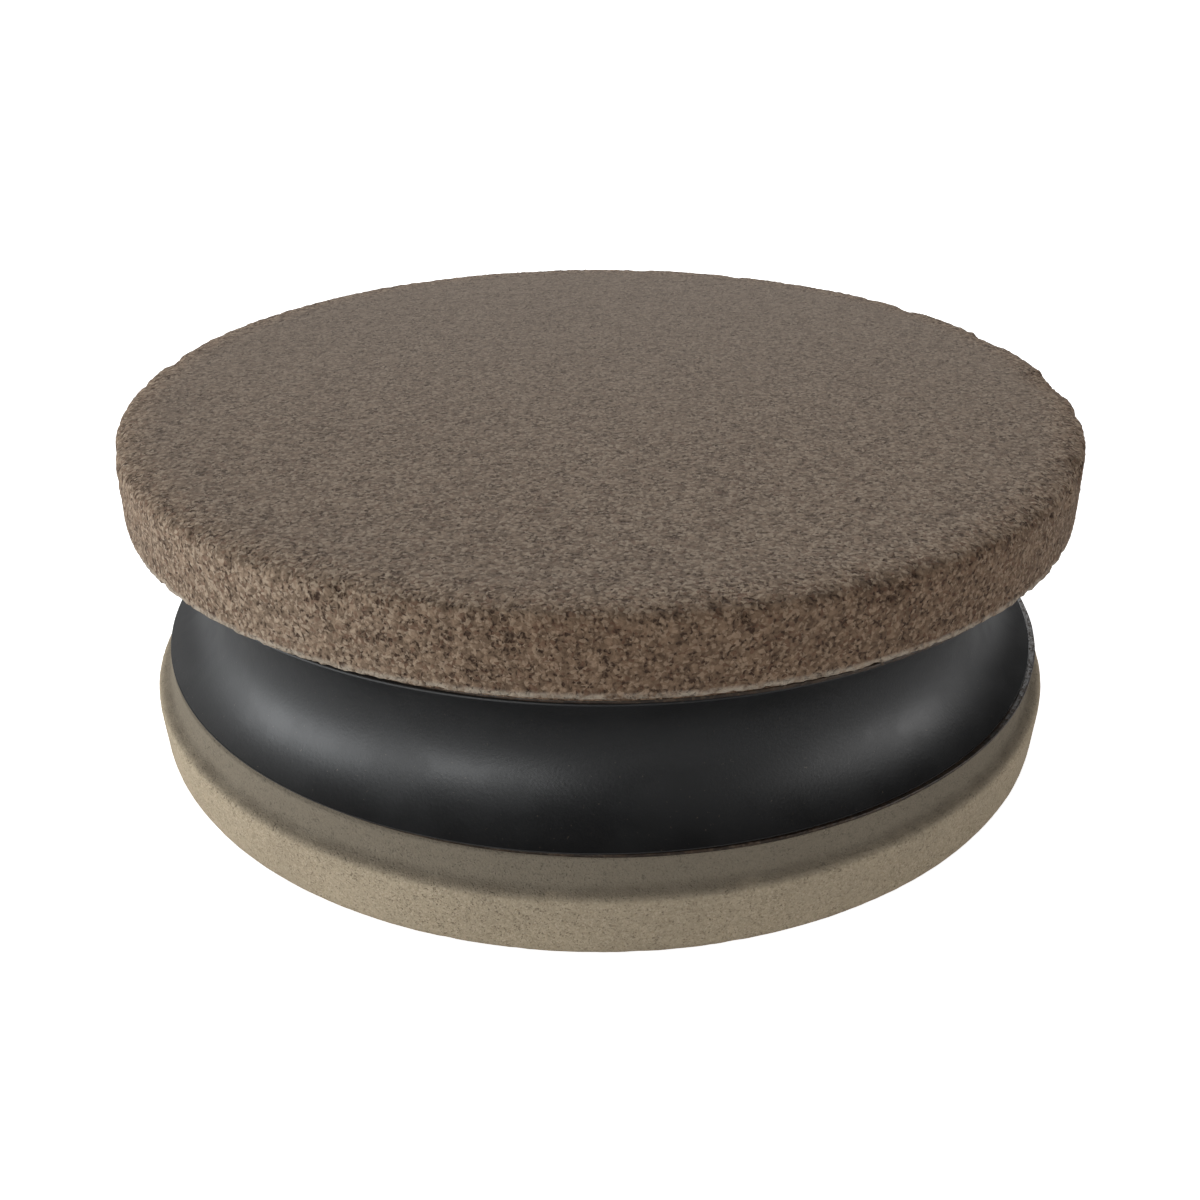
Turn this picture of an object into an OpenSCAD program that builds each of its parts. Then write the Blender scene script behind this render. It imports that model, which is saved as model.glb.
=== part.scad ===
// Two-sided hand puck: a coarse and a fine abrasive disc bonded to a waisted, cored grip.
// Z is the puck's own axis. The origin is the centre of the fine disc's working face,
// which is the face that the puck rests on. Millimetres.

/* [Coarse stone] */
// Diameter of the coarse stone
coarse_d = 75; // [74:0.5:100]
// Thickness from the working face to the bonded back
coarse_t = 7.1; // [6:0.1:12]
// Height of the cove that necks the coarse stone in to its bonded back
coarse_cove_h = 0.9; // [0.6:0.1:2.5]
// Radius of the edge between the coarse stone's side and its cove
coarse_lip_round = 0.3; // [0.2:0.1:1]

/* [Fine stone] */
// Diameter of the fine stone at its widest
fine_d = 74.2; // [74:0.1:100]
// Thickness from the working face to the bonded back
fine_t = 7.5; // [6:0.1:12]
// Height of the cove that necks the fine stone in to its bonded back
fine_cove_h = 2.3; // [0.6:0.1:2.6]
// How much the side draws in, on the radius, from the cove down to the working edge
fine_draft = 0.2; // [0:0.05:0.6]
// Radius of the edge between the fine stone's side and its cove
fine_lip_round = 0.7; // [0.2:0.1:1]

/* [Both stones] */
// Diameter of the bonded back of each stone
back_d = 71.4; // [66:0.1:71.6]
// Radius of the edge round the working face
face_round = 1.2; // [0.4:0.1:2]

/* [Grip] */
// Height of the grip between the two bonded joints
grip_h = 11.4; // [10:0.1:20]
// Diameter of the grip at its waist
waist_d = 63.6; // [62.8:0.1:66]
// Height of the plain edge above and below the finger groove
rim_h = 0.5; // [0.3:0.1:0.6]
// Sideways placing error of the grip when the stones were bonded to it
grip_shift = 0.5; // [0:0.1:0.6]
// Number of radial ribs on each side of the middle web
ribs = 6; // [3:1:12]
// Thickness of each rib
rib_t = 1.8; // [1.2:0.1:3]
// Wall thickness behind the groove
wall_t = 2.4; // [1.8:0.1:3]
// Thickness of the middle web
web_t = 2; // [1.2:0.1:3]
// Outside diameter of the hub
hub_d = 16; // [12:1:24]
// Diameter of the hole that cores the hub out
hub_core_d = 9; // [6:1:10]

/* [Bonded joints] */
// Thickness of each adhesive layer
bond_t = 0.25; // [0.1:0.05:0.5]
// How far the adhesive stops short of the grip's edge
bond_inset = 0.1; // [0:0.05:0.5]

/* [Hidden] */
$fn = 180;

arc_steps = 10;
draw_clear = 1;      // how far a cutting shape runs past the face that it cuts

back_r = back_d / 2;
waist_r = waist_d / 2;
hub_r = hub_d / 2;

// The stack, from the resting face up
fine_bond_z = fine_t;
grip_z = fine_bond_z + bond_t;
grip_mid_z = grip_z + grip_h / 2;
coarse_bond_z = grip_z + grip_h;
coarse_z = coarse_bond_z + bond_t;
total_h = coarse_z + coarse_t;

// The finger groove is one arc between the two plain edges
groove_half_h = grip_h / 2 - rim_h;
groove_depth = back_r - waist_r;
groove_r = (groove_half_h ^ 2 + groove_depth ^ 2) / (2 * groove_depth);
groove_half_angle = asin(groove_half_h / groove_r);

// Points on an arc about centre c, from angle a0 to a1 in degrees
function arc(c, r, a0, a1, n = arc_steps) =
    [for (i = [0:n]) let (a = a0 + (a1 - a0) * i / n) c + r * [cos(a), sin(a)]];

// Half section of a stone lying on its working face: face, rounded edge, side with its draft,
// rounded shoulder, cove up to the back. The cove is a quarter ellipse that starts level at
// the shoulder and ends upright at the back.
function stone_outline(d, t, cove_h, lip_round, draft) =
    let (
        side_r = d / 2,
        edge_r = side_r - draft,
        shoulder_z = t - cove_h,
        cove_w = side_r - lip_round - back_r
    )
    concat(
        [[0, 0]],
        arc([edge_r - face_round, face_round], face_round, -90, 0),
        arc([side_r - lip_round, shoulder_z - lip_round], lip_round, 0, 90),
        [for (i = [1:arc_steps]) let (a = 90 * i / arc_steps)
            [back_r + cove_w * (1 - sin(a)), shoulder_z + cove_h * (1 - cos(a))]],
        [[0, t]]
    );

module stone(d, t, cove_h, lip_round, draft) {
    rotate_extrude() polygon(stone_outline(d, t, cove_h, lip_round, draft));
}

module fine_stone() {
    color("#8c8270") stone(fine_d, fine_t, fine_cove_h, fine_lip_round, fine_draft);
}

module coarse_stone() {
    color("#6f6155") translate([0, 0, total_h]) mirror([0, 0, 1])
        stone(coarse_d, coarse_t, coarse_cove_h, coarse_lip_round, 0);
}

// The grip as if it were solid, standing on its lower edge
module grip_blank() {
    groove = arc([waist_r + groove_r, grip_h / 2], groove_r,
                 180 + groove_half_angle, 180 - groove_half_angle, 2 * arc_steps);
    rotate_extrude() polygon(concat(
        [[0, 0], [back_r, 0]], groove, [[back_r, grip_h], [0, grip_h]]
    ));
}

// The tapered ring that cores out one side of the grip, from the web up through the edge
module core_ring() {
    pocket_h = (grip_h - web_t) / 2;
    rim_in_r = back_r - wall_t;
    web_in_r = waist_r - wall_t;
    past_r = rim_in_r + (rim_in_r - web_in_r) * draw_clear / pocket_h;
    rotate_extrude() polygon([
        [hub_r, 0], [web_in_r, 0], [past_r, pocket_h + draw_clear], [hub_r, pocket_h + draw_clear]
    ]);
}

// Flat pattern of the radial ribs, from inside the hub's wall to inside the groove's wall
module rib_plan() {
    rib_from = (hub_r + hub_core_d / 2) / 2;
    rib_to = back_r - wall_t / 2;
    for (i = [0:ribs - 1])
        rotate(i * 360 / ribs) translate([rib_from, -rib_t / 2]) square([rib_to - rib_from, rib_t]);
}

// One side's pockets: the core ring less the ribs
module pockets() {
    difference() {
        core_ring();
        translate([0, 0, -draw_clear]) linear_extrude(grip_h) rib_plan();
    }
}

module grip() {
    color("#1c1c1e") translate([grip_shift, 0, grip_z]) difference() {
        grip_blank();
        translate([0, 0, (grip_h + web_t) / 2]) pockets();
        translate([0, 0, (grip_h - web_t) / 2]) mirror([0, 0, 1]) pockets();
        translate([0, 0, -draw_clear]) cylinder(d = hub_core_d, h = grip_h + 2 * draw_clear);
    }
}

// A thin layer of adhesive over every surface of the grip that touches a stone
module adhesive() {
    color("#4a3a2c") linear_extrude(bond_t) {
        difference() {
            circle(r = back_r - bond_inset);
            circle(r = back_r - wall_t);
        }
        difference() {
            circle(d = hub_d);
            circle(d = hub_core_d);
        }
        rib_plan();
    }
}

module fine_adhesive() {
    translate([grip_shift, 0, fine_bond_z]) adhesive();
}

module coarse_adhesive() {
    translate([grip_shift, 0, coarse_bond_z]) adhesive();
}

fine_stone();
fine_adhesive();
grip();
coarse_adhesive();
coarse_stone();
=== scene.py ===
import math
import random

import bmesh
import bpy
import numpy as np
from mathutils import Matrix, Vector, noise


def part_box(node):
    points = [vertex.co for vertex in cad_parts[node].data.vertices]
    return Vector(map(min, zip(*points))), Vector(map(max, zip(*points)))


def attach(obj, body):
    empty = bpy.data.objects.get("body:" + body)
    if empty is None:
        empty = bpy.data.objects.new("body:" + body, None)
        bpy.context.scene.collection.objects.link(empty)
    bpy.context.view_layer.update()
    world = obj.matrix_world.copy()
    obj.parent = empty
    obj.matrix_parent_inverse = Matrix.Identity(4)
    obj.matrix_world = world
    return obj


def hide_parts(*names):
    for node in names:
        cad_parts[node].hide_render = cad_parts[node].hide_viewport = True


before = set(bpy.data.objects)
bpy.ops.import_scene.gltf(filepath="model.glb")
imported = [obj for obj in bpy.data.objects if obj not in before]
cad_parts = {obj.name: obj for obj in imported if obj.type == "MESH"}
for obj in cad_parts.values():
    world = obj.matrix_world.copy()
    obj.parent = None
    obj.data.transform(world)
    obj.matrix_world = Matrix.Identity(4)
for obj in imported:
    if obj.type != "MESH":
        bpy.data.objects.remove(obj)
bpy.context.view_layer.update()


# ------------------------------------------------------------------------------------------
# Fine stone
# The lower disc, which the puck stands on: fine tan grit and clay bond, pressed in a steel die
# and fired in one piece. A cove necks its upper edge in to the face that is glued to the grip.
# ------------------------------------------------------------------------------------------

MM = 0.001


def arc(centre, radius, start, end, steps=8):
    """Points on an arc in the (radius, height) plane, between two angles in degrees."""
    turns = [math.radians(start + (end - start) * i / steps) for i in range(steps + 1)]
    return [(centre[0] + radius * math.cos(t), centre[1] + radius * math.sin(t)) for t in turns]


def spaced(outline, spacing):
    """The same outline with evenly spaced points."""
    line = np.array(outline)
    along = np.concatenate([[0], np.cumsum(np.hypot(*np.diff(line, axis=0).T))])
    stops = np.linspace(0, along[-1], round(along[-1] / spacing) + 1)
    return [(np.interp(s, along, line[:, 0]), np.interp(s, along, line[:, 1])) for s in stops]


def stone_outline(radius, face_z, back_z, back_radius, face_round, side_round, cove, draft):
    """A stone's half section, from the rim of its working face round to the rim of its back."""
    up = 1 if face_z > back_z else -1
    thick = abs(face_z - back_z)
    shoulder = thick - cove
    cove_width = radius - side_round - back_radius
    points = arc((radius - draft - face_round, face_round), face_round, -90, 0)
    points += arc((radius - side_round, shoulder - side_round), side_round, 0, 90)
    cove_steps = 8
    for i in range(1, cove_steps + 1):
        turn = math.radians(90 * i / cove_steps)
        points.append((
            back_radius + cove_width * (1 - math.sin(turn)),
            shoulder + cove * (1 - math.cos(turn)),
        ))
    return [(r, face_z - up * h) for r, h in points]


def new_piece(name, points, faces, node=None):
    """A smooth closed mesh that rides with the puck, and may stand for a node of the frame."""
    mesh = bpy.data.meshes.new(name)
    mesh.from_pydata(points, [], faces)
    shape = bmesh.new()
    shape.from_mesh(mesh)
    bmesh.ops.recalc_face_normals(shape, faces=shape.faces)
    shape.to_mesh(mesh)
    shape.free()
    mesh.polygons.foreach_set("use_smooth", [True] * len(mesh.polygons))
    piece = bpy.data.objects.new(name, mesh)
    bpy.context.scene.collection.objects.link(piece)
    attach(piece, "root")
    if node:
        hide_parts(node)
    return piece


def pressed_disc(name, outline, spacing, node):
    """A stone: an even web of triangles over its face, rows of faces down its side, a fan behind."""
    face_radius, face_z = outline[0]
    rings = round(face_radius / spacing)
    columns = 6 * rings

    def on_ring(ring, step):
        return 0 if ring == 0 else 1 + 3 * ring * (ring - 1) + step % (6 * ring)

    points = [(0, 0, face_z)]
    faces = []
    for ring in range(1, rings + 1):
        radius = face_radius * ring / rings
        for step in range(6 * ring):
            turn = math.tau * step / (6 * ring)
            points.append((radius * math.cos(turn), radius * math.sin(turn), face_z))
        for sector in range(6):
            for step in range(ring):
                inner = on_ring(ring - 1, sector * (ring - 1) + step)
                outer = on_ring(ring, sector * ring + step)
                outer_next = on_ring(ring, sector * ring + step + 1)
                faces.append((inner, outer, outer_next))
                if step < ring - 1:
                    inner_next = on_ring(ring - 1, sector * (ring - 1) + step + 1)
                    faces.append((inner, outer_next, inner_next))

    row = len(points) - columns
    for radius, z in outline[1:]:
        for step in range(columns):
            turn = math.tau * step / columns
            points.append((radius * math.cos(turn), radius * math.sin(turn), z))
        for step in range(columns):
            after = (step + 1) % columns
            faces.append((row + step, row + columns + step, row + columns + after, row + after))
        row += columns
    centre = len(points)
    points.append((0, 0, outline[-1][1]))
    faces += [(row + step, centre, row + (step + 1) % columns) for step in range(columns)]
    return new_piece(name, points, faces, node)


def carve(stone, back_z, depth_of, chips):
    """Sinks each point of a stone's surface by depth_of(point), and by the chips near it."""
    mesh = stone.data
    count = len(mesh.vertices)
    places = np.empty(count * 3, np.float32)
    mesh.vertices.foreach_get("co", places)
    places = places.reshape(-1, 3).astype(float)
    normals = np.empty(count * 3, np.float32)
    mesh.vertex_normals.foreach_get("vector", normals)
    normals = normals.reshape(-1, 3)
    depth = np.array([depth_of(Vector(p)) for p in places])
    for place, size, sink in chips:
        near = ((places - place) ** 2).sum(1) / size ** 2
        depth += sink * np.clip(1 - near, 0, 1) ** 0.7
    glued = np.abs(places[:, 2] - back_z) < 0.05 * MM
    depth[glued] = 0
    places -= normals * depth[:, None]
    mesh.vertices.foreach_set("co", places.astype(np.float32).ravel())
    mesh.update()


def node(tree, kind, inputs=(), **settings):
    """A shader node with its settings, and its inputs set to values or joined to outputs."""
    made = tree.nodes.new("ShaderNode" + kind)
    for key, value in settings.items():
        setattr(made, key, value)
    for key, value in dict(inputs).items():
        if isinstance(value, bpy.types.NodeSocket):
            tree.links.new(value, made.inputs[key])
        else:
            made.inputs[key].default_value = value
    return made


def calc(tree, operation, a, b=0.0):
    """One sum on a value, or on two."""
    return node(tree, "Math", {0: a, 1: b}, operation=operation).outputs[0]


def total(tree, *shares):
    """The sum of each value times its share."""
    result = 0.0
    for value, share in shares:
        made = node(tree, "Math", {0: value, 1: share, 2: result}, operation="MULTIPLY_ADD")
        result = made.outputs[0]
    return result


def fade(tree, value, start, end, low=0.0, high=1.0):
    """low where value is at start and high where it is at end, with a smooth step between."""
    return node(tree, "MapRange", {
        "Value": value, "From Min": start, "From Max": end, "To Min": low, "To Max": high,
    }, interpolation_type="SMOOTHSTEP").outputs["Result"]


def blend(tree, share, first, second, blend_type="MIX"):
    """The first colour with that share of the second laid over it."""
    made = node(tree, "Mix", {"Factor": share}, data_type="RGBA", blend_type=blend_type)
    for socket, value in ((made.inputs[6], first), (made.inputs[7], second)):
        if isinstance(value, bpy.types.NodeSocket):
            tree.links.new(value, socket)
        else:
            socket.default_value = value
    return made.outputs[2]


def effect(name, inputs, outputs):
    """An empty node group with those inputs and outputs: its tree, what it is given, its end."""
    tree = bpy.data.node_groups.new(name, "ShaderNodeTree")
    kinds = {"float": "NodeSocketFloat", "colour": "NodeSocketColor", "vector": "NodeSocketVector"}
    for title, kind in inputs.items():
        tree.interface.new_socket(title, in_out="INPUT", socket_type=kinds[kind])
    for title, kind in outputs.items():
        tree.interface.new_socket(title, in_out="OUTPUT", socket_type=kinds[kind])
    return tree, tree.nodes.new("NodeGroupInput").outputs, tree.nodes.new("NodeGroupOutput")


def bonded_grit():
    """Grains of random tone in a bond, with ragged open pores: their colour and their height."""
    tree, given, end = effect(
        "bonded grit",
        {"Vector": "vector", "Grain Size": "float", "Pore Share": "float", "Odd Share": "float",
         "Fleck Share": "float", "Light Grain": "colour", "Dark Grain": "colour",
         "Odd Grain": "colour", "Fleck": "colour", "Pore": "colour"},
        {"Color": "colour", "Height": "float"},
    )
    per_grain = calc(tree, "DIVIDE", 1.0, given["Grain Size"])
    grains = node(tree, "VectorMath", {0: given["Vector"], "Scale": per_grain},
                  operation="SCALE").outputs[0]
    wander = node(tree, "TexNoise", {"Vector": grains, "Scale": 1.1, "Detail": 1.0})
    bent = node(tree, "VectorMath", {0: wander.outputs["Color"], 1: (0.8,) * 3, 2: grains},
                operation="MULTIPLY_ADD").outputs[0]
    big = node(tree, "TexVoronoi", {"Vector": bent, "Scale": 1.0})
    small = node(tree, "TexVoronoi", {"Vector": bent, "Scale": 1.7})
    crumb = node(tree, "TexNoise", {"Vector": bent, "Scale": 1.5, "Detail": 1.5}).outputs["Fac"]
    cloud = node(tree, "TexNoise", {"Vector": grains, "Scale": 0.45, "Detail": 2.0}).outputs["Fac"]
    chance = node(tree, "SeparateColor", {"Color": big.outputs["Color"]}).outputs
    chance_small = node(tree, "SeparateColor", {"Color": small.outputs["Color"]}).outputs

    tone = total(tree, (chance[0], 0.4), (big.outputs["Distance"], -0.35),
                 (chance_small[0], 0.25), (crumb, 0.9), (cloud, 0.35))
    colour = blend(tree, fade(tree, tone, 0.3, 1.25), given["Dark Grain"], given["Light Grain"])
    usual = calc(tree, "SUBTRACT", 1.0, given["Odd Share"])
    odd = calc(tree, "GREATER_THAN", chance_small[1], usual)
    colour = blend(tree, calc(tree, "MULTIPLY", odd, 0.5), colour, given["Odd Grain"])
    plain = calc(tree, "SUBTRACT", 1.0, given["Fleck Share"])
    brightness = total(tree, (chance_small[2], 0.92), (small.outputs["Distance"], -0.3),
                       (crumb, 0.4))
    in_fleck = fade(tree, brightness, calc(tree, "SUBTRACT", plain, 0.2), plain)
    colour = blend(tree, calc(tree, "MULTIPLY", in_fleck, 0.6), colour, given["Fleck"])
    pore_level = calc(tree, "ADD", given["Pore Share"], 0.26)
    pore_start = calc(tree, "ADD", pore_level, 0.12)
    raggedness = total(tree, (crumb, 0.7), (cloud, 0.3))
    pores = fade(tree, raggedness, pore_start, pore_level)
    colour = blend(tree, pores, colour, given["Pore"])

    height = total(tree, (chance[1], 0.3), (big.outputs["Distance"], -0.45),
                   (small.outputs["Distance"], -0.25), (pores, -0.7), (crumb, 0.7))
    tree.links.new(colour, end.inputs["Color"])
    tree.links.new(height, end.inputs["Height"])
    return tree


def cloudy_patches():
    """Soft patches of a given size, as a mask, for mottling, dust and uneven gloss."""
    tree, given, end = effect(
        "cloudy patches",
        {"Vector": "vector", "Patch Size": "float", "Threshold": "float", "Softness": "float"},
        {"Mask": "float"},
    )
    scale = calc(tree, "DIVIDE", 1.0, given["Patch Size"])
    cloud = node(tree, "TexNoise", {
        "Vector": given["Vector"], "Scale": scale, "Detail": 3.0, "Roughness": 0.6,
    }).outputs["Fac"]
    low = calc(tree, "SUBTRACT", given["Threshold"], given["Softness"])
    high = calc(tree, "ADD", given["Threshold"], given["Softness"])
    tree.links.new(fade(tree, cloud, low, high), end.inputs["Mask"])
    return tree


def finish_of(name, roughness, specular):
    """A new material: its tree, its Principled shader, and the puck's own coordinates."""
    made = bpy.data.materials.new(name)
    made.use_nodes = True
    shader = made.node_tree.nodes["Principled BSDF"]
    shader.inputs["Roughness"].default_value = roughness
    shader.inputs["Specular IOR Level"].default_value = specular
    return made, made.node_tree, shader, node(made.node_tree, "TexCoord").outputs["Object"]


def use(tree, group, **inputs):
    """That effect placed in a material, with its own values."""
    placed = tree.nodes.new("ShaderNodeGroup")
    placed.node_tree = group
    for key, value in inputs.items():
        socket = placed.inputs[key.replace("_", " ")]
        if isinstance(value, bpy.types.NodeSocket):
            tree.links.new(value, socket)
        else:
            socket.default_value = value
    return placed.outputs


def roughen(tree, shader, height, depth):
    """Raises the shader's surface by height times depth, in metres."""
    bump = node(tree, "Bump", {"Height": height, "Distance": depth, "Strength": 1.0})
    tree.links.new(bump.outputs["Normal"], shader.inputs["Normal"])


fine_low, fine_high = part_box("fine_stone")
fine_radius = (fine_high.x - fine_low.x) / 2
fine_back_radius = 35.7 * MM
fine_cove = 2.3 * MM
fine_shoulder = fine_high.z - fine_cove
fine_grain = 0.2 * MM

fine_stone = pressed_disc(
    "fine_disc",
    spaced(stone_outline(
        fine_radius, fine_low.z, fine_high.z, fine_back_radius,
        face_round=1.2 * MM, side_round=0.7 * MM, cove=fine_cove, draft=0.2 * MM,
    ), 0.38 * MM),
    0.42 * MM, "fine_stone",
)


def fine_depth(point):
    """Slight waves left by the press, and a little grain."""
    waves = 0.5 + 0.5 * noise.noise(point / (9 * MM))
    grain = 0.5 + 0.5 * noise.noise(point / (0.7 * MM))
    return 0.06 * MM * waves + 0.035 * MM * grain


def edge_chips(seed, count, radius, height, sizes, sinks, spread):
    """Small breaks scattered along an edge, as (place, size, depth)."""
    chance = random.Random(seed)
    made = []
    for _ in range(count):
        turn = chance.uniform(0, math.tau)
        drop = chance.gauss(0, spread * MM)
        out = radius - chance.uniform(0, 0.4) * MM
        place = (out * math.cos(turn), out * math.sin(turn), height + drop)
        made.append((place, chance.uniform(*sizes) * MM, chance.uniform(*sinks) * MM))
    return made


carve(fine_stone, fine_high.z, fine_depth,
      edge_chips(11, 40, fine_radius - 0.2 * MM, fine_shoulder, (0.4, 1.0), (0.04, 0.12), 0.2)
      + edge_chips(12, 30, fine_radius - 0.5 * MM, 0.5 * MM, (0.3, 0.8), (0.01, 0.04), 0.3))

GRIT = bonded_grit()
PATCHES = cloudy_patches()

fine_finish, tree, shader, place = finish_of("fine fired grit", 0.86, 0.3)
height = node(tree, "SeparateXYZ", {"Vector": place}).outputs["Z"]
grit = use(tree, GRIT, Vector=place, Grain_Size=fine_grain, Pore_Share=0.05, Odd_Share=0.05,
           Fleck_Share=0.05, Fleck=(0.61, 0.51, 0.38, 1),
           Light_Grain=(0.53, 0.432, 0.305, 1), Dark_Grain=(0.38, 0.308, 0.213, 1),
           Odd_Grain=(0.36, 0.27, 0.17, 1), Pore=(0.22, 0.17, 0.115, 1))
mottle = use(tree, PATCHES, Vector=place, Patch_Size=3.2 * MM, Threshold=0.52, Softness=0.16)
stain = use(tree, PATCHES, Vector=place, Patch_Size=9 * MM, Threshold=0.55, Softness=0.14)
colour = blend(tree, calc(tree, "MULTIPLY", mottle["Mask"], 0.25), grit["Color"],
               (0.52, 0.432, 0.31, 1))
colour = blend(tree, calc(tree, "MULTIPLY", stain["Mask"], 0.25), colour, (0.32, 0.265, 0.19, 1))
# The cove is painted darker, its own fired skin plus painted shade under the coarse stone, and a
# broken line of painted shade lies in its corner
cove_skin_and_shade = fade(tree, height, fine_shoulder - 0.5 * MM, fine_shoulder + 0.15 * MM)
colour = blend(tree, calc(tree, "MULTIPLY", cove_skin_and_shade, 0.78), colour, (0.168, 0.144, 0.11, 1))
# Painted shade: a broken dark line just above the cove's outer edge
above_corner = calc(tree, "SUBTRACT", height, fine_shoulder + 0.12 * MM)
in_corner = fade(tree, calc(tree, "ABSOLUTE", above_corner), 0.55 * MM, 0.0)
corner_shade_patches = use(tree, PATCHES, Vector=place, Patch_Size=2.2 * MM, Threshold=0.47, Softness=0.2)
corner_shade_share = calc(tree, "MULTIPLY", in_corner, calc(tree, "MULTIPLY", corner_shade_patches["Mask"], 0.4))
colour = blend(tree, corner_shade_share, colour, (0.13, 0.1, 0.07, 1))
tree.links.new(colour, shader.inputs["Base Color"])
roughen(tree, shader, grit["Height"], 0.05 * MM)
fine_stone.data.materials.append(fine_finish)


# ------------------------------------------------------------------------------------------
# Grip
# The black middle: one satin plastic moulding, made in a mould that splits along two sides, with
# pockets cored from above and below so that its wall stays even. The stones are glued over them.
# ------------------------------------------------------------------------------------------

grip_low, grip_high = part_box("grip")
grip_x = (grip_low.x + grip_high.x) / 2
grip_radius = (grip_high.x - grip_low.x) / 2
grip_tall = grip_high.z - grip_low.z
grip_middle = (grip_high.z + grip_low.z) / 2
waist_radius = 31.8 * MM
grip_wall = 2.4 * MM
grip_web = 2 * MM
hub_radius = 8 * MM
hub_hole = 4.5 * MM
rib_count = 6
rib_thick = 1.8 * MM


def turned(outline, columns, radius_of=None):
    """Points and faces of an outline turned all the way round the grip's axis, with its ends left
    open.
    """
    points = []
    for step in range(columns):
        turn = math.tau * step / columns
        for radius, z in outline:
            r = radius_of(radius, z, turn) if radius_of else radius
            points.append((r * math.cos(turn), r * math.sin(turn), z))
    rows = len(outline)
    faces = []
    for step in range(columns):
        here, after = step * rows, (step + 1) % columns * rows
        faces += [(here + i, after + i, after + i + 1, here + i + 1) for i in range(rows - 1)]
    return points, faces, rows


def grip_outline():
    """The outside of the grip from its lower edge to its upper one, with small rounded corners."""
    soft = 0.12 * MM
    half = grip_tall / 2 - soft
    sink = grip_radius - waist_radius
    bend = (half ** 2 + sink ** 2) / (2 * sink)
    swing = math.degrees(math.asin(half / bend))
    centre = (waist_radius + bend, grip_middle)
    groove = arc(centre, bend, 180 + swing - 0.6, 180 - swing + 0.6, 44)
    foot = arc((grip_radius - soft, grip_low.z + soft), soft, -90, 20, 4)
    head = arc((grip_radius - soft, grip_high.z - soft), soft, -20, 90, 4)
    return foot + groove + head


def with_parting_line(radius, z, turn):
    """A hair of flash stands up where the two halves of the mould met, on the left and right."""
    flash_tall = 0.07 * MM
    flash_half_wide = 0.22 * MM
    in_groove = radius < grip_radius - 0.3 * MM
    from_line = abs(math.remainder(turn, math.pi)) * radius
    flash = flash_tall * max(0.0, 1 - from_line / flash_half_wide)
    return radius + flash * in_groove


def cored_grip():
    """The moulding: its outside, less the pockets between the ribs and the hole in the hub."""
    outline = grip_outline()
    columns = 720
    points, faces, rows = turned(outline, columns, with_parting_line)
    faces.append([step * rows for step in range(columns)])
    faces.append([step * rows + rows - 1 for step in range(columns)])
    body = new_piece("finger_grip", points, faces, "grip")

    cutters = []
    pocket_tall = (grip_tall - grip_web) / 2
    slope = (grip_radius - waist_radius) / pocket_tall
    for up in (1, -1):
        for k in range(rib_count):
            cutters.append(pocket(k, up, pocket_tall, slope))
    hole_columns = 96
    hole, hole_faces, rows = turned(
        [(hub_hole, grip_low.z - MM), (hub_hole, grip_high.z + MM)], hole_columns)
    hole_faces.append([step * rows for step in range(hole_columns)])
    hole_faces.append([step * rows + 1 for step in range(hole_columns)])
    cutters.append((hole, hole_faces))

    all_points, all_faces = [], []
    for cut_points, cut_faces in cutters:
        start = len(all_points)
        all_points += cut_points
        all_faces += [[start + i for i in face] for face in cut_faces]
    cutter = new_piece("grip_cutter", all_points, all_faces)
    boolean = body.modifiers.new("cores", "BOOLEAN")
    boolean.operation = "DIFFERENCE"
    boolean.solver = "EXACT"
    boolean.object = cutter
    bpy.context.view_layer.update()
    cut = bpy.data.meshes.new_from_object(
        body.evaluated_get(bpy.context.evaluated_depsgraph_get()))
    body.modifiers.clear()
    body.data = cut
    bpy.data.objects.remove(cutter)
    body.data.transform(((1, 0, 0, grip_x), (0, 1, 0, 0), (0, 0, 1, 0), (0, 0, 0, 1)))
    return body


def pocket(k, up, tall, slope):
    """One pocket between two ribs, as a closed block that narrows towards the web."""
    steps = 16
    web_z = grip_middle + up * grip_web / 2
    layers = []
    for z_over_web in (0, tall + MM):
        outer = waist_radius - grip_wall + slope * z_over_web
        edge = []
        for radius, order in ((hub_radius, 1), (outer, -1)):
            half_gap = math.pi / rib_count - math.asin(rib_thick / 2 / radius)
            turns = [half_gap * (2 * i / steps - 1) for i in range(steps + 1)][::order]
            middle = math.tau * (k + 0.5) / rib_count
            edge += [(radius * math.cos(middle + t), radius * math.sin(middle + t)) for t in turns]
        layers += [(x, y, web_z + up * z_over_web) for x, y in edge]
    count = len(layers) // 2
    faces = [list(range(count)), list(range(count, 2 * count))]
    for i in range(count):
        after = (i + 1) % count
        faces.append([i, after, count + after, count + i])
    return layers, faces


grip = cored_grip()
sharp_corner = math.radians(40)
grip.data.polygons.foreach_set("use_smooth", [True] * len(grip.data.polygons))
grip.data.set_sharp_from_angle(angle=sharp_corner)

grip_finish, tree, shader, place = finish_of("satin black moulding", 0.45, 0.7)
height = node(tree, "SeparateXYZ", {"Vector": place}).outputs["Z"]
haze = use(tree, PATCHES, Vector=place, Patch_Size=6 * MM, Threshold=0.5, Softness=0.18)
dust = use(tree, PATCHES, Vector=place, Patch_Size=0.25 * MM, Threshold=0.72, Softness=0.05)
low_flare = fade(tree, height, grip_middle - 1 * MM, grip_low.z + 0.3 * MM, 0.5, 1.0)
settled = calc(tree, "MULTIPLY", dust["Mask"], low_flare)
colour = blend(tree, calc(tree, "MULTIPLY", haze["Mask"], 0.35), (0.006, 0.006, 0.0065, 1),
               (0.01, 0.01, 0.0105, 1))
colour = blend(tree, settled, colour, (0.12, 0.095, 0.07, 1))
tree.links.new(colour, shader.inputs["Base Color"])
tree.links.new(fade(tree, haze["Mask"], 0.0, 1.0, 0.44, 0.53), shader.inputs["Roughness"])
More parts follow.
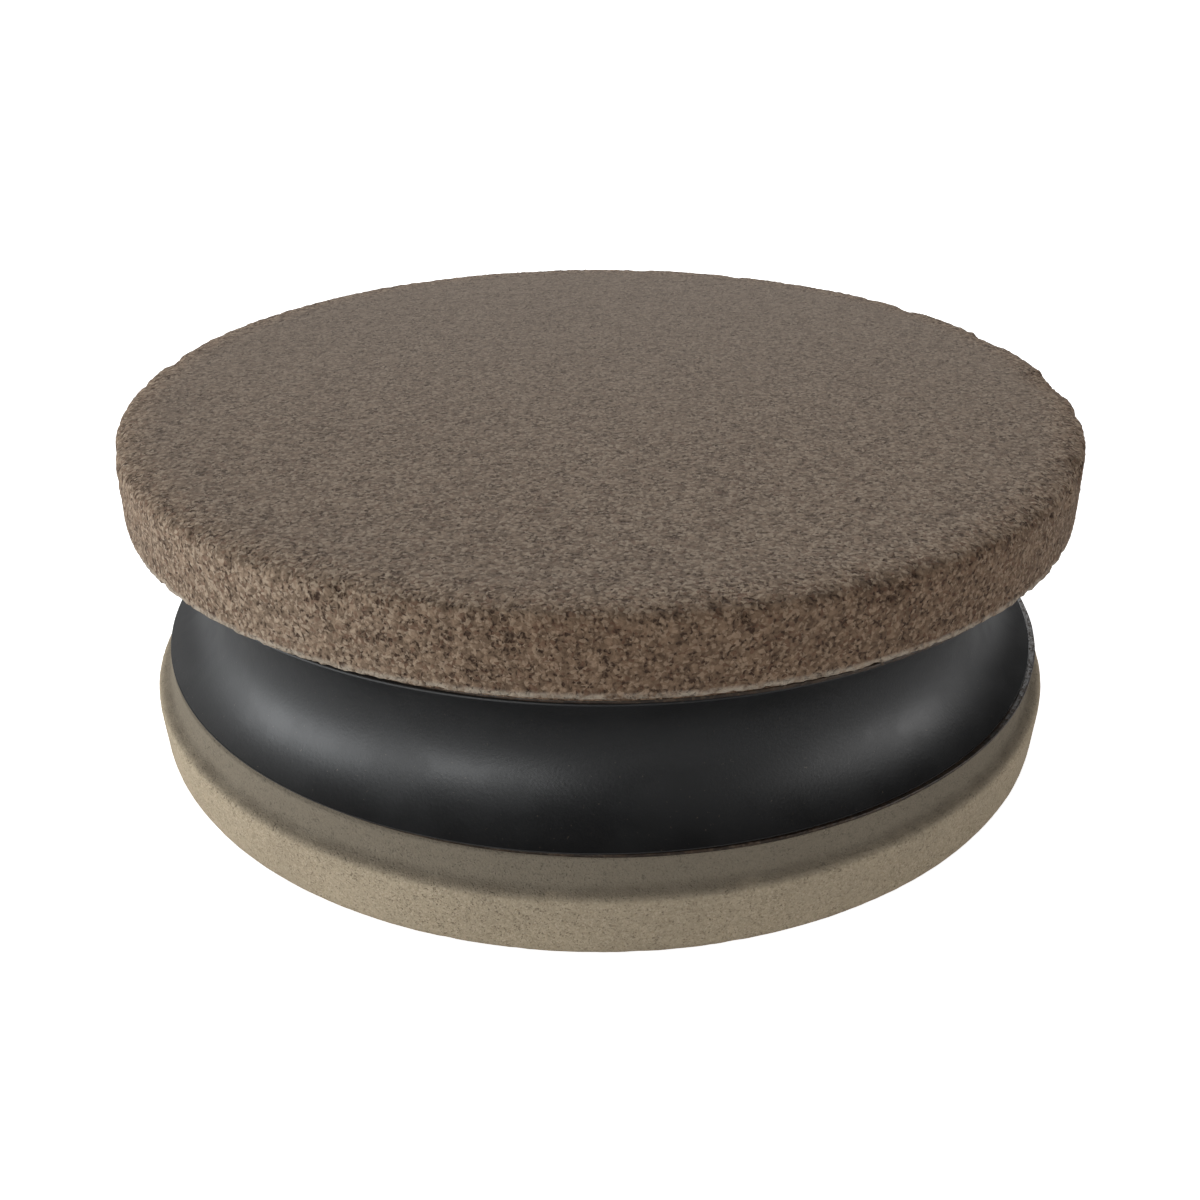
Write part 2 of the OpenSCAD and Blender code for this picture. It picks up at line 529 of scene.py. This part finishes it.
pebble = node(tree, "TexNoise", {"Vector": place, "Scale": 1 / (0.22 * MM), "Detail": 2.0})
roughen(tree, shader, pebble.outputs["Fac"], 0.012 * MM)
grip.data.materials.clear()
grip.data.materials.append(grip_finish)


# ------------------------------------------------------------------------------------------
# Adhesive
# Brown epoxy holds each stone to the grip. The layers fill the joints, and where the stones were
# pressed home a thin uneven bead came out round the edge and picked up stone dust.
# ------------------------------------------------------------------------------------------

glue_finish, tree, shader, place = finish_of("brown epoxy", 0.5, 0.4)
lumps = use(tree, PATCHES, Vector=place, Patch_Size=1.2 * MM, Threshold=0.5, Softness=0.15)
powder = use(tree, PATCHES, Vector=place, Patch_Size=0.3 * MM, Threshold=0.6, Softness=0.08)
colour = blend(tree, lumps["Mask"], (0.022, 0.014, 0.009, 1), (0.05, 0.03, 0.018, 1))
colour = blend(tree, calc(tree, "MULTIPLY", powder["Mask"], 0.4), colour, (0.16, 0.12, 0.085, 1))
tree.links.new(colour, shader.inputs["Base Color"])
tree.links.new(fade(tree, powder["Mask"], 0.0, 1.0, 0.42, 0.8), shader.inputs["Roughness"])
roughen(tree, shader, lumps["Mask"], 0.05 * MM)


def glue_bead(name, z, seed):
    """The bead in one joint: a thin ring whose thickness and reach wander as it goes round."""
    columns, sides = 720, 10
    points = []
    for step in range(columns):
        turn = math.tau * step / columns
        around = Vector((math.cos(turn), math.sin(turn), seed)) * 3
        swell = 0.5 + 0.5 * noise.fractal(around, 0.8, 2.1, 3)
        half_tall = (0.12 + 0.03 * swell) * MM
        reach = (0.03 + 0.12 * swell ** 2) * MM
        for side in range(sides):
            lean = math.tau * side / sides
            radius = grip_radius - 0.1 * MM + reach * math.cos(lean)
            points.append((
                grip_x + radius * math.cos(turn), radius * math.sin(turn),
                z + half_tall * math.sin(lean),
            ))
    faces = []
    for step in range(columns):
        here, after = step * sides, (step + 1) % columns * sides
        for side in range(sides):
            up = (side + 1) % sides
            faces.append((here + side, after + side, after + up, here + up))
    bead = new_piece(name, points, faces)
    bead.data.materials.append(glue_finish)


for layer in ("fine_adhesive", "coarse_adhesive"):
    low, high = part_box(layer)
    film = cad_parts[layer]
    film.data.materials.clear()
    film.data.materials.append(glue_finish)
    glue_bead(layer.replace("adhesive", "glue_bead"), (low.z + high.z) / 2, low.z / MM)


# ------------------------------------------------------------------------------------------
# Coarse stone
# The upper disc: coarse brown grit and clay bond with open pores, pressed and fired like the fine
# one. Its working face was ground flat, and rubbing has rounded and chipped its edge.
# ------------------------------------------------------------------------------------------

coarse_low, coarse_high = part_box("coarse_stone")
coarse_radius = (coarse_high.x - coarse_low.x) / 2
coarse_back_radius = 35.7 * MM
coarse_cove = 0.9 * MM
coarse_lip = coarse_low.z + coarse_cove
coarse_grain = 0.4 * MM

coarse_stone = pressed_disc(
    "coarse_disc",
    spaced(stone_outline(
        coarse_radius, coarse_high.z, coarse_low.z, coarse_back_radius,
        face_round=1.2 * MM, side_round=0.3 * MM, cove=coarse_cove, draft=0,
    ), 0.27 * MM),
    0.275 * MM, "coarse_stone",
)


def coarse_depth(point):
    """Each grain stands at its own height, some have dropped out, and the edge is worn."""
    ground_layer = 0.25 * MM
    worn_width = 2.6 * MM
    most_worn = 0.3
    distances, centres = noise.voronoi(point / coarse_grain)
    luck = 0.5 + 0.5 * noise.cell(centres[0] * 7.3)
    crumbs = 0.5 + 0.5 * noise.noise(point / (1.1 * coarse_grain))
    relief = 0.07 * distances[0] + 0.05 * luck + 0.12 * crumbs
    ground = min(1.0, max(0.0, (point.z - coarse_high.z + ground_layer) / ground_layer))
    near_edge = max(0.0, 1 - abs(math.hypot(point.x, point.y) - coarse_radius) / worn_width)
    worn = most_worn * near_edge * ground ** 0.5 * (0.6 + 0.4 * noise.noise(point / (4 * MM)))
    swell = 0.05 * (0.5 + 0.5 * noise.noise(point / (7 * MM)))
    return MM * (relief * (1 - 0.5 * ground * (1 - near_edge)) + worn + swell)


def edge_spot(bearing, drop, size, sink):
    """A break or hollow near the top edge, at a bearing in degrees and a drop below the face."""
    turn = math.radians(bearing)
    out = coarse_radius - (0.45 * MM if drop < 0.6 else 0.1 * MM)
    place = (out * math.cos(turn), out * math.sin(turn), coarse_high.z - drop * MM)
    return place, size * MM, sink * MM


worn_spots = [
    edge_spot(3, 0.4, 3.2, 0.3), edge_spot(-7, 0.6, 1.4, 0.15), edge_spot(-24, 0.7, 1.5, 0.45),
    edge_spot(-31, 1.4, 1.2, 0.25), edge_spot(21, 0.5, 2.2, 0.2), edge_spot(38, 0.5, 1.6, 0.2),
    edge_spot(168, 0.6, 1.6, 0.2), edge_spot(196, 0.7, 1.3, 0.2), edge_spot(246, 0.8, 1.2, 0.2),
]
pits = [
    edge_spot(-60.6, 1.1, 0.5, 0.5), edge_spot(-59, 0.5, 0.38, 0.4), edge_spot(-62, 1.7, 0.42, 0.4),
    edge_spot(-64.5, 1.3, 0.34, 0.35), edge_spot(-77, 0.9, 0.4, 0.4), edge_spot(-52, 1.0, 0.36, 0.35),
    edge_spot(-98, 1.9, 0.36, 0.35), edge_spot(-117, 1.2, 0.32, 0.3), edge_spot(-36, 1.3, 0.4, 0.35),
    edge_spot(25, 1.5, 0.45, 0.4), edge_spot(110, 1.2, 0.42, 0.4), edge_spot(148, 2.0, 0.4, 0.4),
]

carve(coarse_stone, coarse_low.z, coarse_depth, worn_spots + pits
      + edge_chips(21, 70, coarse_radius - 0.35 * MM, coarse_high.z - 0.6 * MM,
                   (0.4, 1.0), (0.05, 0.2), 0.5)
      + edge_chips(22, 90, coarse_radius - 0.1 * MM, coarse_lip, (0.3, 0.6), (0.04, 0.13), 0.15))

coarse_finish, tree, shader, place = finish_of("coarse fired grit", 0.88, 0.3)
axes = node(tree, "SeparateXYZ", {"Vector": place}).outputs
height = axes["Z"]
flat = node(tree, "CombineXYZ", {"X": axes["X"], "Y": axes["Y"]}).outputs[0]
from_axis = node(tree, "VectorMath", {0: flat}, operation="LENGTH").outputs["Value"]
grit = use(tree, GRIT, Vector=place, Grain_Size=coarse_grain, Pore_Share=0.065, Odd_Share=0.16,
           Fleck_Share=0.14, Fleck=(0.51, 0.4, 0.295, 1),
           Light_Grain=(0.35, 0.252, 0.174, 1), Dark_Grain=(0.13, 0.086, 0.056, 1),
           Odd_Grain=(0.16, 0.08, 0.05, 1), Pore=(0.075, 0.042, 0.026, 1))
# Fine pale dust lies on the working face, and the face is painted paler and greyer towards the back
# as painted light from behind
above = fade(tree, height, coarse_high.z - 0.8 * MM, coarse_high.z - 0.1 * MM)
inside = fade(tree, from_axis, coarse_radius - 0.4 * MM, coarse_radius - 4 * MM)
on_face = calc(tree, "MULTIPLY", above, inside)
# The dust share rises towards the back: painted light over a little real dust
dust = fade(tree, axes["Y"], -34 * MM, 34 * MM, 0.2, 0.65)
mottle = use(tree, PATCHES, Vector=place, Patch_Size=5 * MM, Threshold=0.5, Softness=0.2)
dusty_and_painted_light = blend(tree, dust, grit["Color"], (0.26, 0.205, 0.16, 1))
dusty_and_painted_light = blend(tree, 1.0, dusty_and_painted_light, (0.96, 0.98, 1, 1), "MULTIPLY")
colour = blend(tree, on_face, grit["Color"], dusty_and_painted_light)
colour = blend(tree, calc(tree, "MULTIPLY", mottle["Mask"], 0.12), colour, (0.2, 0.15, 0.11, 1))
# The side is painted darker and browner away from the left, as painted shade where the left lights
# reach less, and the lip's edge is pale: crumbs plus a painted highlight
side_shade = fade(tree, axes["X"], -22 * MM, 1 * MM)
side_shade = calc(tree, "MULTIPLY", side_shade, fade(tree, axes["X"], 36 * MM, 22 * MM, 0.45, 1.0))
off_face = calc(tree, "SUBTRACT", 1.0, above)
colour = blend(tree, calc(tree, "MULTIPLY", side_shade, off_face), colour,
               (0.72, 0.65, 0.6, 1), "MULTIPLY")
# Painted highlight on the lip's edge, as light from the table below, broken by patches of pale crumbs
above_lip = calc(tree, "SUBTRACT", height, coarse_lip + 0.2 * MM)
lip_crumbs_and_highlight = fade(tree, calc(tree, "ABSOLUTE", above_lip), 0.55 * MM, 0.2 * MM)
crumbly = use(tree, PATCHES, Vector=place, Patch_Size=0.7 * MM, Threshold=0.42, Softness=0.16)
lip_crumbs_and_highlight = calc(tree, "MULTIPLY", lip_crumbs_and_highlight, calc(tree, "MULTIPLY", crumbly["Mask"], 0.75))
colour = blend(tree, lip_crumbs_and_highlight, colour, (0.46, 0.39, 0.31, 1))
# The pits are painted dark, a dark stain plus painted shade in the hollows, with ragged rims
ragged = node(tree, "TexNoise", {"Vector": place, "Scale": 1 / (0.5 * MM), "Detail": 2.0})
bent = node(tree, "VectorMath", {
    0: ragged.outputs["Color"], 1: (0.5 * MM,) * 3, 2: place}, operation="MULTIPLY_ADD").outputs[0]
bent = node(tree, "VectorMath", {0: bent, 1: (0.25 * MM,) * 3}, operation="SUBTRACT").outputs[0]
pit_stain_and_shade = 0.0
for pit, size, sink in pits:
    away = node(tree, "VectorMath", {0: bent, 1: pit}, operation="DISTANCE").outputs["Value"]
    pit_stain_and_shade = calc(tree, "MAXIMUM", fade(tree, away, 1.1 * size, 0.5 * size), pit_stain_and_shade)
colour = blend(tree, calc(tree, "MULTIPLY", pit_stain_and_shade, 0.85), colour, (0.028, 0.012, 0.008, 1))
tree.links.new(colour, shader.inputs["Base Color"])
bumps = calc(tree, "MULTIPLY", grit["Height"], fade(tree, on_face, 0.0, 1.0, 1.0, 0.75))
roughen(tree, shader, bumps, 0.13 * MM)
coarse_stone.data.materials.append(coarse_finish)


# ------------------------------------------------------------------------------------------
# Studio
# A pale table that runs on to the horizon, three soft lights on the left like a wide window, a
# soft box above and behind, a pale wall's glow from the right, and a camera held close, looking
# down. The camera sees the table and the room almost white; they light the puck less than that.
# ------------------------------------------------------------------------------------------

table_size = 6.0
table_mesh = bpy.data.meshes.new("table")
table_mesh.from_pydata(
    [(x * table_size, y * table_size, 0) for x, y in ((-1, -1), (1, -1), (1, 1), (-1, 1))],
    [], [(0, 1, 2, 3)])
table = bpy.data.objects.new("table", table_mesh)
bpy.context.scene.collection.objects.link(table)
table_finish, tree, shader, place = finish_of("pale table", 0.7, 0.2)
shader.inputs["Base Color"].default_value = (0.93, 0.93, 0.93, 1)
shader.inputs["Emission Color"].default_value = (1, 1, 1, 1)
table_glow = 0.86
to_camera = node(tree, "LightPath").outputs["Is Camera Ray"]
tree.links.new(calc(tree, "MULTIPLY", to_camera, table_glow), shader.inputs["Emission Strength"])
table_mesh.materials.append(table_finish)


def soft_light(name, place, width, tall, power, colour=(1, 1, 1)):
    """A soft box of that size that faces the puck."""
    lamp = bpy.data.lights.new(name, "AREA")
    lamp.shape = "RECTANGLE"
    lamp.size, lamp.size_y = width, tall
    lamp.energy = power
    lamp.color = colour
    box = bpy.data.objects.new(name, lamp)
    box.location = place
    aim = Vector((0, 0, grip_middle)) - Vector(place)
    box.rotation_euler = aim.to_track_quat("-Z", "Y").to_euler()
    box.visible_camera = False
    bpy.context.scene.collection.objects.link(box)


soft_light("window", (-0.54, -0.05, 0.14), 0.45, 0.28, 1.8, (0.95, 0.98, 1))
soft_light("window_front", (-0.32, -0.46, 0.1), 0.36, 0.2, 1.1, (0.97, 0.99, 1))
soft_light("window_back", (-0.4, 0.35, 0.3), 0.4, 0.3, 0.35)
soft_light("back_box", (0.0, 0.5, 0.35), 0.5, 0.3, 2.3)
soft_light("far_wall", (0.53, -0.13, 0.15), 0.35, 0.28, 1.05)

world = bpy.data.worlds.new("room")
bpy.context.scene.world = world
world.use_nodes = True
sky = world.node_tree.nodes["Background"]
sky.inputs["Color"].default_value = (0.98, 0.99, 1, 1)
room_glow = 0.93
room_fill = 0.04
to_camera = node(world.node_tree, "LightPath").outputs["Is Camera Ray"]
seen = calc(world.node_tree, "MULTIPLY", to_camera, room_glow)
world.node_tree.links.new(calc(world.node_tree, "ADD", seen, room_fill), sky.inputs["Strength"])

eye_back = 108.9 * MM
eye_height = 65.2 * MM
eye_tilt = 28.0
lens = 42.9

camera_data = bpy.data.cameras.new("camera")
camera_data.lens = lens
camera_data.sensor_width = 36
camera_data.clip_start = 0.001
camera = bpy.data.objects.new("camera", camera_data)
camera.location = (0, -eye_back, eye_height)
camera.rotation_euler = (math.radians(90 - eye_tilt), 0, 0)
bpy.context.scene.collection.objects.link(camera)
bpy.context.scene.camera = camera
bpy.context.scene.view_settings.view_transform = "Standard"

bpy.context.view_layer.update()
